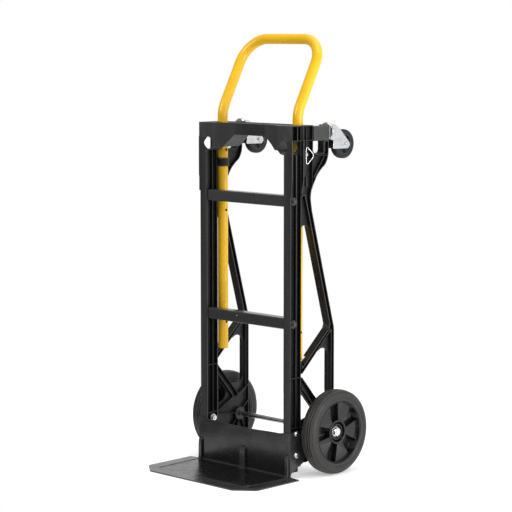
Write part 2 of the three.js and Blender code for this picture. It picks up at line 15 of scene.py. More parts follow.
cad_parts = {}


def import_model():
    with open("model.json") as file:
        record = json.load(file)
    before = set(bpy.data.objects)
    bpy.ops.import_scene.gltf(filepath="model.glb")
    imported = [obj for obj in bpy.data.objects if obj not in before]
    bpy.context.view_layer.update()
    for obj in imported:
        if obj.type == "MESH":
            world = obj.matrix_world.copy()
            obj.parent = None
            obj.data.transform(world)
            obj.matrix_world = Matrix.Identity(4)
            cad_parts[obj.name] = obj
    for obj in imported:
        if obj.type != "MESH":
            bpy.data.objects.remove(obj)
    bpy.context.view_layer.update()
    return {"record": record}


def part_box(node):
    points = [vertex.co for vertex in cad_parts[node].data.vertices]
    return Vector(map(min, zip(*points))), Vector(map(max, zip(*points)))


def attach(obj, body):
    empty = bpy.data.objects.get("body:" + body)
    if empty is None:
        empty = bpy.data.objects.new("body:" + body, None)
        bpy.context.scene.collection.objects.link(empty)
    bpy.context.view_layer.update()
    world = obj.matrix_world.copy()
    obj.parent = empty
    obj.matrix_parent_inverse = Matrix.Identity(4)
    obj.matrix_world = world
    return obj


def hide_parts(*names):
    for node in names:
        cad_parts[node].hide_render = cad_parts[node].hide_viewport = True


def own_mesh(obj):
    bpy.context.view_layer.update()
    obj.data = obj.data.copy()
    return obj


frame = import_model()

MM = 0.001
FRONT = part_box("side_frame_right")[0].y
SHIFT = Vector((0, FRONT, 0))
BODY_OF = {n: body for body, members in frame["record"]["behaviour"]["bodies"].items() for n in members}


def span(node):
    """Lowest and highest corner of a CAD node, in layout mm."""
    lo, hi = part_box(node)
    return (lo - SHIFT) / MM, (hi - SHIFT) / MM


def middle(lo, hi):
    """Middle of the box between two corners."""
    return tuple((a + b) / 2 for a, b in zip(lo, hi))


def on_axis(node):
    """Corners of a node that is turned along X, and a point on its axis."""
    lo, hi = span(node)
    return lo, hi, (0, *middle(lo, hi)[1:])


# ----- sizes taken from the frame
frame_lo, frame_hi = span("side_frame_right")
axle_lo, axle_hi = span("axle")
tyre_lo, tyre_hi = span("wheel_tyre_right")
handle_lo, handle_hi = span("handle_tube")
guide_lo, guide_hi = span("handle_guide_right")
pin_lo, pin_hi = span("lock_pin_right")
toe_lo, toe_hi = span("toe_plate")
bracket_lo, bracket_hi = span("caster_bracket_right")
caster_lo, caster_hi = span("caster_tyre_right")
caster_hub_lo, caster_hub_hi = span("caster_hub_right")

RAIL_IN = frame_lo.x
RAIL_OUT = RAIL_IN + 28
RAIL_DEPTH, RAIL_WALL = 48, 4
TRUSS_IN, TRUSS_OUT = RAIL_IN + 5, RAIL_IN + 33
WEB_IN, WEB_OUT = RAIL_IN + 16, RAIL_IN + 22
RAIL_WEB_IN, RAIL_WEB_OUT = RAIL_IN + 11, RAIL_IN + 17
FLANGE = 3.2
FRAME_TOP, FRAME_REAR = frame_hi.z, frame_hi.y
HEAD_OUT, HEAD_TOP_OUT, HEAD_REAR, HEAD_STEP = frame_hi.x, frame_hi.x - 3.5, 93, 1018
SHOULDER_FOOT, SHOULDER_TOP = 858, 900
WING_REAR, WING_TOP, SLIM_TOP = 62, 146, 850

_, AXLE_Y, AXLE_Z = middle(axle_lo, axle_hi)
AXLE_R, AXLE_END, AXLE_THREAD = (axle_hi.z - axle_lo.z) / 2, axle_hi.x, 239
WHEEL_AT = (0, AXLE_Y, AXLE_Z)
WHEEL_R, WHEEL_IN, WHEEL_OUT, RIM_R = (tyre_hi.z - tyre_lo.z) / 2, tyre_lo.x, tyre_hi.x, 96

TUBE_R = 15.9
TUBE_WALL = 2
LEG_X, LEG_Y = handle_hi.x - TUBE_R, handle_lo.y + TUBE_R
LEG_BOTTOM, LEG_BEND = handle_lo.z, 1100
GRIP_Y, GRIP_Z, CORNER, LEAN_R = handle_hi.y - TUBE_R, handle_hi.z - TUBE_R, 82, 90
PIN_Z = middle(pin_lo, pin_hi)[2]
PIN_AT = (0, LEG_Y, PIN_Z)
RING_X = pin_hi.x - 4
LEG_HOLES = (436, 787, PIN_Z)
GUIDE_BORE, LEG_CLEAR = TUBE_R + 0.4, TUBE_R + 0.8
HOUSING_HOLE_R = 10.4
RING_SWING = radians(11.5)
SPRING_START, SPRING_LENGTH = 183.5, 5.2
SOCKET_X, SOCKET_Z, SOCKET_R, SOCKET_END, SOCKET_WEB_Y = 160, 998, 19.5, 49, 24.3
BOLT_HOLE_R, BAR_BOLT_Y = 4.3, 17
TOE_BOLTS, TOE_BOLT_Y = (134, 69), 25

CASTER_AT = middle(caster_lo, caster_hi)
CASTER_X, CASTER_Y, CASTER_Z = CASTER_AT
CASTER_AXIS = (0, CASTER_Y, CASTER_Z)
CASTER_R, CASTER_W = (caster_hi.z - caster_lo.z) / 2, caster_hi.x - caster_lo.x
SWIVEL_Z = CASTER_Z + 41
RACE_R = 27
PLATE_Y = bracket_hi.y + 0.3


# ----- outlines
def arc(a, b, r, start, end, steps):
    """Points of an arc round (a, b), angles in degrees."""
    turns = [radians(start + (end - start) * i / steps) for i in range(steps + 1)]
    return [(a + r * cos(t), b + r * sin(t)) for t in turns]


def rounded(outline, radius, steps=4):
    """The outline with its sharp corners rounded."""
    result = []
    for i, corner in enumerate(outline):
        q = Vector(corner)
        u = Vector(outline[i - 1]) - q
        v = Vector(outline[(i + 1) % len(outline)]) - q
        half = u.angle(v) / 2
        if half > radians(80):
            result.append(corner)
            continue
        reach = min(radius / tan(half), 0.45 * u.length, 0.45 * v.length)
        start = q + u.normalized() * reach
        centre = q + (u.normalized() + v.normalized()).normalized() * reach / cos(half)
        first = start - centre
        turn = (q + v.normalized() * reach - centre).angle_signed(first)
        for k in range(steps + 1):
            t = turn * k / steps
            c, s = cos(t), sin(t)
            result.append((centre.x + first.x * c - first.y * s, centre.y + first.x * s + first.y * c))
    return result


def smoothed(points, steps=4):
    """A curve through the points, as a Catmull-Rom spline."""
    ends = [points[0], *points, points[-1]]
    result = []
    for p, q, r, s in zip(ends, ends[1:], ends[2:], ends[3:]):
        for k in range(steps):
            t = k / steps
            result.append(tuple(
                0.5 * (2 * q[i] + (r[i] - p[i]) * t + (2 * p[i] - 5 * q[i] + 4 * r[i] - s[i]) * t * t
                       + (3 * q[i] - p[i] - 3 * r[i] + s[i]) * t ** 3)
                for i in range(2)))
    return [*result, tuple(points[-1])]


def inset(outline, d):
    """The outline moved inward by d, or outward where d is negative."""
    n = len(outline)
    area = sum(outline[i - 1][0] * outline[i][1] - outline[i][0] * outline[i - 1][1] for i in range(n))
    result = []
    for i in range(n):
        normals = []
        for p, q in ((outline[i - 1], outline[i]), (outline[i], outline[(i + 1) % n])):
            edge = (Vector(q) - Vector(p)).normalized()
            normals.append(Vector((-edge.y, edge.x)) * copysign(1, area))
        both = normals[0] + normals[1]
        move = both * d / (1 + normals[0].dot(normals[1]))
        result.append((outline[i][0] + move.x, outline[i][1] + move.y))
    return result


# ----- solids, as (points, faces)
def along(axis, a, b, t):
    """The point at t along the axis, a and b being its other two coordinates in order."""
    return {"x": (t, a, b), "y": (a, t, b), "z": (a, b, t)}[axis]


def prism(axis, outline, start, end, holes=()):
    """An outline drawn out along an axis, with through holes."""
    loops = [outline, *holes]
    caps = tessellate_polygon([[Vector((a, b, 0)) for a, b in loop] for loop in loops])
    count = sum(len(loop) for loop in loops)
    points = [along(axis, a, b, t) for t in (start, end) for loop in loops for a, b in loop]
    faces = [tuple(f) for f in caps] + [tuple(i + count for i in reversed(f)) for f in caps]
    first = 0
    for loop in loops:
        ring = range(first, first + len(loop))
        faces += [(i, j, j + count, i + count) for i, j in zip(ring, [*ring[1:], first])]
        first += len(loop)
    return points, faces


def block(x0, x1, y0, y1, z0, z1):
    return prism("z", [(x0, y0), (x1, y0), (x1, y1), (x0, y1)], z0, z1)


def lathe(axis, profile, centre=(0, 0, 0), steps=48):
    """Solid of revolution from a closed profile of (radius, distance along the axis)."""
    n = len(profile)
    points, faces = [], []
    for k in range(steps):
        c, s = cos(2 * pi * k / steps), sin(2 * pi * k / steps)
        points += [Vector(along(axis, r * c, r * s, t)) + Vector(centre) for r, t in profile]
        after = (k + 1) % steps
        for i in range(n):
            j = (i + 1) % n
            if profile[i][0] > 0 or profile[j][0] > 0:
                faces.append((k * n + i, k * n + j, after * n + j, after * n + i))
    return points, faces


def rod(axis, r, start, end, centre, steps=32, chamfer=0.0):
    """A plain round bar, or one with chamfered ends."""
    profile = [(0, start), (r - chamfer, start), (r, start + chamfer), (r, end - chamfer),
               (r - chamfer, end), (0, end)]
    return lathe(axis, profile if chamfer else [(0, start), (r, start), (r, end), (0, end)], centre, steps)


def collar(axis, inner, outer, start, end, centre, steps=40, chamfer=0.5):
    """A ring with its outer edges broken."""
    c = chamfer
    return lathe(axis, [(inner, start), (outer - c, start), (outer, start + c), (outer, end - c),
                        (outer - c, end), (inner, end)], centre, steps)


def thread(axis, r, start, end, centre, pitch=1.25):
    """A threaded end, drawn as close rings."""
    count = max(2, round((end - start) / pitch))
    step = (end - start) / count
    profile = [(0, start)]
    for i in range(count):
        t = start + i * step
        profile += [(r - 0.6, t + 0.05), (r, t + step * 0.4), (r, t + step * 0.6)]
    return lathe(axis, [*profile, (r - 0.8, end), (0, end)], centre, 32)


def hexagon(axis, corner, start, end, centre, samples=48):
    """Hex head or nut body; its far corners are chamfered by a cone, as turned stock is."""
    flat = corner * cos(pi / 6)
    slope = tan(radians(30))
    sign = copysign(1, end - start)
    rings = [[], [], []]
    for k in range(samples):
        angle = 2 * pi * k / samples
        off = (angle + pi / 6) % (pi / 3) - pi / 6
        r = flat / cos(off)
        c, s = cos(angle), sin(angle)
        drop = max(0.0, r - flat * 0.97) * slope + 0.02
        for ring, radius, t in zip(rings, (r, r, flat * 0.93), (start, end - sign * drop, end)):
            ring.append(Vector(along(axis, radius * c, radius * s, t)) + Vector(centre))
    points = rings[0] + rings[1] + rings[2]
    faces = [tuple(range(samples)), tuple(range(2 * samples, 3 * samples))]
    for base in (0, samples):
        for k in range(samples):
            after = (k + 1) % samples
            faces.append((base + k, base + after, base + after + samples, base + k + samples))
    return points, faces


def sweep(path, radius, sides=12, hollow=0.0):
    """Round bar along a path of points, or a pipe where hollow is its inner radius."""
    path = [Vector(p) for p in path]
    ahead, behind = [*path[1:], path[-1]], [path[0], *path[:-1]]
    tangents = [(q - p).normalized() for p, q in zip(behind, ahead)]
    side = tangents[0].orthogonal().normalized()
    points = []
    radii = [radius, hollow] if hollow else [radius]
    for centre, tangent in zip(path, tangents):
        side = (side - tangent * side.dot(tangent)).normalized()
        other = tangent.cross(side)
        for r in radii:
            for k in range(sides):
                t = 2 * pi * k / sides
                points.append(centre + (side * cos(t) + other * sin(t)) * r)
    faces = []
    ring = sides * len(radii)
    for layer in range(len(radii)):
        for i in range(len(path) - 1):
            for k in range(sides):
                a = i * ring + layer * sides + k
                b = i * ring + layer * sides + (k + 1) % sides
                faces.append((a, b, b + ring, a + ring))
    for base in (0, ring * (len(path) - 1)):
        if hollow:
            for k in range(sides):
                a, b = base + k, base + (k + 1) % sides
                faces.append((a, b, b + sides, a + sides))
        else:
            faces.append(tuple(range(base, base + sides)))
    return points, faces


# ----- joining, finishing and placing
def placed(name, data):
    """A new object in the scene."""
    made = bpy.data.objects.new(name, data)
    bpy.context.scene.collection.objects.link(made)
    return made


def as_mesh(solid):
    """A mesh of one closed solid, its faces pointing out."""
    points, faces = solid
    bm = bmesh.new()
    verts = [bm.verts.new(p) for p in points]
    for face in faces:
        bm.faces.new([verts[i] for i in face])
    bmesh.ops.remove_doubles(bm, verts=bm.verts, dist=1e-4)
    bmesh.ops.dissolve_degenerate(bm, edges=bm.edges, dist=1e-4)
    bmesh.ops.recalc_face_normals(bm, faces=bm.faces)
    mesh = bpy.data.meshes.new("solid")
    bm.to_mesh(mesh)
    bm.free()
    return mesh


def as_object(solid):
    return placed("solid", as_mesh(solid))


def carved(solids, cuts=(), inside=()):
    """One body as a bmesh: the solids joined, the cuts taken away, what lies inside kept."""
    base, *rest = [as_object(s) for s in solids]
    tools = [("UNION", o) for o in rest]
    tools += [("INTERSECT", as_object(s)) for s in inside]
    tools += [("DIFFERENCE", as_object(s)) for s in cuts]
    for operation, tool in tools:
        modifier = base.modifiers.new(operation, "BOOLEAN")
        modifier.operation = operation
        modifier.object = tool
        modifier.solver = "MANIFOLD"
    bm = bmesh.new()
    bm.from_object(base, bpy.context.evaluated_depsgraph_get())
    for made in [base] + [tool for _, tool in tools]:
        mesh = made.data
        bpy.data.objects.remove(made)
        bpy.data.meshes.remove(mesh)
    return bm


def taken(bm):
    """A finished bmesh as (points, faces), to join or cut with."""
    bm.verts.index_update()
    solid = [v.co.copy() for v in bm.verts], [tuple(v.index for v in f.verts) for f in bm.faces]
    bm.free()
    return solid


def gathered(solids):
    """A bmesh of touching solids that stay separate shells."""
    bm = bmesh.new()
    for solid in solids:
        mesh = as_mesh(solid)
        bm.from_mesh(mesh)
        bpy.data.meshes.remove(mesh)
    return bm


def finished(bm, name, bevel, segments=2, crease=32):
    """The mesh in metres and in place, its corners rounded by bevel."""
    bmesh.ops.triangulate(bm, faces=bm.faces)
    if bevel:
        sharp = [e for e in bm.edges if e.is_manifold and e.calc_face_angle() > radians(crease)]
        bmesh.ops.bevel(bm, geom=sharp, offset=bevel, segments=segments, profile=0.5, affect="EDGES",
                        clamp_overlap=False)
    for vert in bm.verts:
        vert.co = vert.co * MM + SHIFT
    mesh = bpy.data.meshes.new(name)
    bm.to_mesh(mesh)
    bm.free()
    return mesh


def unrounded(name, *solids):
    """Mesh of solids that lie against each other, their edges as drawn."""
    return finished(gathered(solids), name, 0)


def piece(name, node, slot, mesh, look=None):
    """The mesh as the piece for one CAD node; look names a material other than the slot's own."""
    mesh.shade_smooth()
    mesh.set_sharp_from_angle(angle=radians(34))
    made = placed(name, mesh)
    made.data.materials.append(MATERIALS[look or slot])
    normals = made.modifiers.new("normals", "WEIGHTED_NORMAL")
    normals.keep_sharp = True
    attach(made, BODY_OF[node])
    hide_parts(node)
    return made


def pair(stem, word, slot, mesh, look=None):
    """The piece on the right, and its mirror image on the left."""
    other = mesh.copy()
    for vert in other.vertices:
        vert.co.x = -vert.co.x
    other.flip_normals()
    return [piece(f"{stem}_{word}_right", f"{stem}_right", slot, mesh, look),
            piece(f"{stem}_{word}_left", f"{stem}_left", slot, other, look)]


# ----- materials
class Nodes:
    """Short names for building one node material."""

    def __init__(self, name):
        self.material = bpy.data.materials.new(name)
        self.material.use_nodes = True
        self.tree = self.material.node_tree
        self.shader = self.tree.nodes["Principled BSDF"]
        self.where = self.tree.nodes.new("ShaderNodeTexCoord").outputs["Object"]

    def link(self, source, target):
        self.tree.links.new(source, target)

    def new(self, kind, **values):
        """A new node, with the values of its inputs by name."""
        node = self.tree.nodes.new(kind)
        for name, value in values.items():
            node.inputs[name.replace("_", " ")].default_value = value
        return node

    def noise(self, scale, detail=3.0, stretch=None):
        node = self.new("ShaderNodeTexNoise", Scale=scale, Detail=detail)
        source = self.where
        if stretch:
            mapping = self.new("ShaderNodeMapping", Scale=stretch)
            self.link(source, mapping.inputs["Vector"])
            source = mapping.outputs["Vector"]
        self.link(source, node.inputs["Vector"])
        return node.outputs["Fac"]

    def speckle(self, scale):
        node = self.new("ShaderNodeTexVoronoi", Scale=scale)
        self.link(self.where, node.inputs["Vector"])
        return node.outputs["Distance"]

    def spread(self, value, low, high, start=0.3, end=0.7):
        """The value's range start to end, moved to low to high."""
        node = self.new("ShaderNodeMapRange", From_Min=start, From_Max=end, To_Min=low, To_Max=high)
        self.link(value, node.inputs["Value"])
        return node.outputs["Result"]

    def mix(self, factor, first, second):
        node = self.new("ShaderNodeMix")
        node.data_type = "RGBA"
        self.link(factor, node.inputs["Factor"])
        for socket, colour in ((node.inputs["A"], first), (node.inputs["B"], second)):
            if isinstance(colour, tuple):
                socket.default_value = (*colour, 1)
            else:
                self.link(colour, socket)
        return node.outputs["Result"]

    def edges(self):
        """High on outer corners: the mask of a painted highlight along them."""
        node = self.new("ShaderNodeNewGeometry")
        return self.spread(node.outputs["Pointiness"], 0.0, 1.0, 0.505, 0.56)

    def bump(self, *layers):
        """Bump from (height, strength, distance in metres) layers, the first one lowest."""
        normal = None
        for height, strength, distance in layers:
            node = self.new("ShaderNodeBump", Strength=strength, Distance=distance)
            self.link(height, node.inputs["Height"])
            if normal:
                self.link(normal, node.inputs["Normal"])
            normal = node.outputs["Normal"]
        self.link(normal, self.shader.inputs["Normal"])

    def set(self, **values):
        for name, value in values.items():
            self.shader.inputs[name.replace("_", " ")].default_value = value

    def colour(self, source):
        self.link(source, self.shader.inputs["Base Color"])

    def rough(self, source):
        self.link(source, self.shader.inputs["Roughness"])


def moulded_nylon(name, low, high):
    """Moulded black nylon: spark-eroded grain, faint flow marks, and a painted highlight that lightens the
    outer corners.
    """
    n = Nodes(name)
    body = n.mix(n.spread(n.noise(7, 4, (1.0, 1.0, 0.35)), 0, 1), low, high)
    # Painted highlight: outer corners are mixed toward a lighter grey.
    n.colour(n.mix(n.edges(), body, (0.055, 0.054, 0.053)))
    n.rough(n.spread(n.noise(45, 3), 0.34, 0.50))
    n.bump((n.noise(60, 2), 0.10, 0.0006), (n.noise(1500, 2), 0.22, 0.00012),
           (n.speckle(900), 0.12, 0.0001))
    n.set(Specular_IOR_Level=0.3)
    return n.material


def frame_nylon():
    return moulded_nylon("frame_nylon", (0.0046, 0.0045, 0.0044), (0.0088, 0.0086, 0.0084))


# A lighter copy of the frame nylon: its extra lightness is painted light that brightens the crossmember.
def crossmember_nylon_painted_light():
    return moulded_nylon("crossmember_nylon_painted_light", (0.0170, 0.0170, 0.0170), (0.0240, 0.0240, 0.0240))


def black_steel():
    """Black powder coat on steel: orange peel, small scuffs, and a painted highlight that lightens the
    outer corners.
    """
    n = Nodes("black_steel")
    patches = n.noise(11, 5)
    body = n.mix(n.spread(patches, 0, 1), (0.0034, 0.0034, 0.0036), (0.0062, 0.0062, 0.0065))
    scuffs = n.spread(n.noise(90, 6, (1.0, 0.12, 1.0)), 0, 0.45, 0.66, 0.8)
    body = n.mix(scuffs, body, (0.030, 0.030, 0.030))
    # Painted highlight: outer corners are mixed toward a lighter grey.
    n.colour(n.mix(n.edges(), body, (0.055, 0.055, 0.056)))
    n.rough(n.spread(n.noise(30, 4), 0.20, 0.32))
    n.bump((n.noise(420, 2), 0.07, 0.00025), (n.noise(1800, 2), 0.04, 0.0001))
    n.set(Specular_IOR_Level=0.42, Coat_Weight=0.3, Coat_Roughness=0.15)
    return n.material


def handle_yellow():
    """Yellow powder coat: semi-gloss with orange peel, a little deeper in patches."""
    n = Nodes("handle_yellow")
    patches = n.noise(14, 4)
    body = n.mix(n.spread(patches, 0, 1), (0.84, 0.475, 0.0045), (0.91, 0.53, 0.006))
    grime = n.spread(n.noise(70, 7), 0, 0.22, 0.62, 0.8)
    n.colour(n.mix(grime, body, (0.72, 0.37, 0.005)))
    n.rough(n.spread(n.noise(40, 3), 0.24, 0.36))
    n.bump((n.noise(380, 2), 0.14, 0.0003), (n.noise(1600, 2), 0.05, 0.0001))
    n.set(Specular_IOR_Level=0.4, Coat_Weight=0.12, Coat_Roughness=0.15)
    return n.material


def plated(name, low, high, roughness, brush):
    """Bright plating: metal with cloudy patches, fine draw lines and soft pits."""
    n = Nodes(name)
    n.colour(n.mix(n.spread(n.noise(55, 4), 0, 1), low, high))
    n.rough(n.spread(n.noise(90, 3), roughness - 0.04, roughness + 0.05))
    n.bump((n.noise(700, 3, brush), 0.06, 0.00008), (n.noise(120, 2), 0.05, 0.0002))
    n.set(Metallic=1.0)
    return n.material


def zinc():
    return plated("zinc", (0.60, 0.62, 0.64), (0.74, 0.75, 0.76), 0.24, (1.0, 0.15, 1.0))


def spring_steel():
    return plated("spring_steel", (0.36, 0.37, 0.39), (0.52, 0.53, 0.55), 0.32, (0.2, 1.0, 1.0))


def wheel_plastic():
    """Black polypropylene of the hubs: glossier than the frame, with soft sink marks."""
    n = Nodes("wheel_plastic")
    body = n.mix(n.spread(n.noise(16, 4), 0, 1), (0.0050, 0.0049, 0.0049), (0.0090, 0.0088, 0.0088))
    # Painted highlight: outer corners are mixed toward a lighter grey.
    n.colour(n.mix(n.edges(), body, (0.045, 0.045, 0.046)))
    n.rough(n.spread(n.noise(60, 3), 0.18, 0.28))
    n.bump((n.noise(45, 2), 0.12, 0.0008), (n.noise(1300, 2), 0.12, 0.0001))
    n.set(Specular_IOR_Level=0.35)
    return n.material


def tread_rubber():
    """Solid rubber: matt charcoal with dusty patches and a fine pore."""
    n = Nodes("tread_rubber")
    dust = n.spread(n.noise(22, 6), 0, 1, 0.35, 0.75)
    body = n.mix(dust, (0.0150, 0.0143, 0.0138), (0.0240, 0.0228, 0.0220))
    # Painted highlight: outer corners are mixed toward a lighter grey.
    n.colour(n.mix(n.edges(), body, (0.060, 0.057, 0.055)))
    n.rough(n.spread(n.noise(80, 4), 0.42, 0.56))
    n.bump((n.noise(900, 3), 0.25, 0.00015), (n.speckle(520), 0.10, 0.0001))
    n.set(Specular_IOR_Level=0.3)
    return n.material


def caster_rubber_painted_shade():
    """Darker copy of the tread rubber for the casters, its extra darkness painted shade, with a slight
    polish.
    """
    n = Nodes("caster_rubber_painted_shade")
    body = n.mix(n.spread(n.noise(40, 4), 0, 1), (0.0035, 0.0034, 0.0034), (0.0065, 0.0062, 0.0061))
    # Painted highlight: outer corners are mixed toward a lighter grey.
    n.colour(n.mix(n.edges(), body, (0.050, 0.048, 0.047)))
    n.rough(n.spread(n.noise(90, 3), 0.40, 0.52))
    n.bump((n.noise(900, 3), 0.12, 0.0001))
    n.set(Specular_IOR_Level=0.12)
    return n.material


MATERIALS = {make.__name__: make() for make in (
    frame_nylon, crossmember_nylon_painted_light, black_steel, handle_yellow, zinc, spring_steel, wheel_plastic,
    tread_rubber, caster_rubber_painted_shade)}


# ----- side frames
REAR_CURVE = [(162, 983), (159.5, 965), (149, 944), (131, 929.5), (113, 912), (100.5, 892), (88.5, 871),
              (84, 850), (85, 832), (90, 804)]
FRAME_OUTLINE = [
    (0, 8), (0, FRAME_TOP), (HEAD_REAR, FRAME_TOP), *arc(106.4, 989, 13.4, 180, 270, 8),
    *arc(130, 989, 13, 270, 360, 8), (143, 1013.7), (162, 1013.7), *smoothed(REAR_CURVE), (184, 462),
    (188.5, 446), (FRAME_REAR, 430), (FRAME_REAR, 76), (168, 58), (60, 40), (6, 14),
]
STRUT_LOOP = [(RAIL_DEPTH, 333), (165, 439.5), (170, 452), (58, 853), (RAIL_DEPTH, 853)]
MIDDLE_LOOP = [(RAIL_DEPTH, 314), (176, 434), (176, 208), (146, 192), (RAIL_DEPTH, 304)]
LOWER_LOOP = [(RAIL_DEPTH, 272), (121, 187), (RAIL_DEPTH, 149)]
STRUT_WINDOW = [(48.5, 352), (60, 350), (82, 364), (155.6, 431), *arc(160, 448, 11, -60, 12, 8),
                *arc(67, 744, 18.4, 15, 180, 12)]
MIDDLE_WINDOW = [(51, 312), (107, 369), *arc(148, 354, 27, 130, 0, 12), *arc(157, 246, 18.5, 0, -90, 8),
                 (131, 227), (114, 229), (51, 303)]
LOWER_WINDOW = [(50, 262), (99, 207), (98, 193), (84, 178), (50, 168)]
HUB = (AXLE_Y, AXLE_Z)
HUB_RIBS = [(187, 166), (47, 141), (72, 46), (178, 68), (130, 53)]


def rib(p, q, x0, x1, thick=FLANGE):
    """A straight rib between two points of the side view."""
    p, q = Vector(p), Vector(q)
    out = Vector((-(q - p).y, (q - p).x)).normalized() * thick / 2
    return prism("x", [tuple(p + out), tuple(p - out), tuple(q - out), tuple(q + out)], x0, x1)


def flange(loop):
    """The flange round one opening of the truss."""
    return prism("x", rounded(inset(loop, -FLANGE), 3), TRUSS_IN, TRUSS_OUT, [rounded(loop, 4)])


def rail():
    """Front wall, rear flange, middle web, and the upright rib on each side of it."""
    return [
        block(RAIL_IN, RAIL_OUT, 0, RAIL_WALL, 8, FRAME_TOP),
        block(RAIL_IN, RAIL_OUT, RAIL_DEPTH - RAIL_WALL, RAIL_DEPTH, 30, FRAME_TOP),
        block(RAIL_WEB_IN, RAIL_WEB_OUT, 1, RAIL_DEPTH - 1, 12, FRAME_TOP),
        block(RAIL_IN + 0.6, RAIL_OUT - 0.6, 25, 28, 150, 975),
        block(RAIL_IN + 0.3, RAIL_OUT - 0.3, 1, RAIL_DEPTH - 1, 302, 305),
        block(RAIL_IN + 0.6, RAIL_OUT - 0.6, 1, RAIL_DEPTH - 1, 150, 153),
    ]


def head():
    """The wide upper end: tapered front, upright flanges, and the ledge and ribs on its outer side."""
    top, chamfer = FRAME_TOP - 3, 4
    upper = [(HEAD_OUT, SHOULDER_TOP), (HEAD_OUT, HEAD_STEP), (HEAD_TOP_OUT, HEAD_STEP + 1.5),
             (HEAD_TOP_OUT, FRAME_TOP - chamfer), (HEAD_TOP_OUT - chamfer, FRAME_TOP)]
    return [
        prism("y", [(RAIL_IN, SHOULDER_FOOT), (RAIL_OUT, SHOULDER_FOOT), *upper, (RAIL_IN, FRAME_TOP)],
              0, RAIL_WALL),
        prism("y", [(WEB_IN, SHOULDER_TOP), (RAIL_OUT, SHOULDER_FOOT), *upper, (WEB_IN, FRAME_TOP)],
              49.6, 52.8),
        block(RAIL_WEB_IN, HEAD_OUT - 3, 1, HEAD_REAR - 1, HEAD_STEP - 2, HEAD_STEP + 1),
        block(WEB_IN, HEAD_OUT - 3, HEAD_REAR - 3.2, HEAD_REAR, 872, FRAME_TOP),
        block(RAIL_WEB_IN, HEAD_TOP_OUT - chamfer, 1, HEAD_REAR - 1, top, FRAME_TOP),
        block(WEB_IN, TRUSS_OUT - 4, 69, 71.4, 880, 908),
        block(WEB_IN, TRUSS_OUT - 6, 69, 71.4, 990, top + 1),
        block(RAIL_WEB_IN, TRUSS_OUT - 1, 25, 28, HEAD_STEP, top + 1),
        block(RAIL_IN + 0.6, RAIL_WEB_IN + 1, 25, 28, 970, FRAME_TOP - 1),
        block(WEB_IN, TRUSS_OUT - 2, HEAD_REAR - 2, 160.5, 968, 970.6),
        rib((141, 1012), (141, 962), WEB_IN, TRUSS_OUT - 1, 2.4),
        rib((141, 963), (98, 905), WEB_IN, TRUSS_OUT - 1, 2.4),
    ]


def axle_web():
    """Boss and ribs that carry the axle, and the long rib over them."""
    inner, outer = TRUSS_IN + 0.4, TRUSS_OUT - 0.4
    spokes = [rib(HUB, end, inner, outer, 2.6) for end in HUB_RIBS]
    return [*spokes, rib((46, 142.3), (188, 217), TRUSS_IN, TRUSS_OUT, 3),
            rod("x", 20, TRUSS_IN - 1, TRUSS_OUT, WHEEL_AT, 48)]


def bar_levels():
    """Heights of the two crossbars' middles."""
    return [middle(*span(f"crossbar_{level}"))[2] for level in ("upper", "lower")]


def side_frame():
    """Side moulding, with its bores, a pocket beside the leg, room for the toe plate's wing below and a
    narrow front between the wing and the head."""
    behind = [p for p in FRAME_OUTLINE if p[0] > RAIL_DEPTH]
    web = [(RAIL_DEPTH - 2, 34), (RAIL_DEPTH - 2, FRAME_TOP), *behind]
    levels = bar_levels()
    solids = [
        prism("x", web, WEB_IN, WEB_OUT, [STRUT_WINDOW, MIDDLE_WINDOW, LOWER_WINDOW]),
        prism("x", FRAME_OUTLINE, TRUSS_IN, TRUSS_OUT, [inset(FRAME_OUTLINE, FLANGE)]),
        *rail(), *head(), *axle_web(), *map(flange, (STRUT_LOOP, MIDDLE_LOOP, LOWER_LOOP)),
        *[rod("x", 12.5, RAIL_WEB_IN + 1, RAIL_OUT - 1, (0, BAR_BOLT_Y - 1, z)) for z in levels],
        *[rod("x", 9, RAIL_IN, RAIL_OUT - 0.2, (0, TOE_BOLT_Y, z)) for z in TOE_BOLTS],
    ]
    cuts = [
        rod("x", AXLE_R + 0.4, 150, 220, WHEEL_AT),
        rod("y", SOCKET_R, -5, SOCKET_END, (SOCKET_X, 0, SOCKET_Z), 48),
        rod("x", SOCKET_R, RAIL_WEB_IN - 1, RAIL_WEB_OUT + 1, (0, SOCKET_WEB_Y, SOCKET_Z), 48),
        *[rod("x", BOLT_HOLE_R, 150, 220, (0, BAR_BOLT_Y, z)) for z in levels],
        *[rod("x", BOLT_HOLE_R, 150, 220, (0, TOE_BOLT_Y, z)) for z in TOE_BOLTS],
        rod("x", HOUSING_HOLE_R, 150, 220, PIN_AT, 40),
        block(140, WEB_IN, LEG_Y - 16.5, LEG_Y + 17.1, LEG_BOTTOM - 6, 1100),
        block(RAIL_OUT, TRUSS_OUT + 2, -1, WING_REAR, 0, WING_TOP),
        block(RAIL_OUT, TRUSS_OUT + 2, -1, RAIL_DEPTH + 0.5, WING_TOP - 1, SLIM_TOP),
    ]
    return finished(carved(solids, cuts), "side_frame", 0.7)


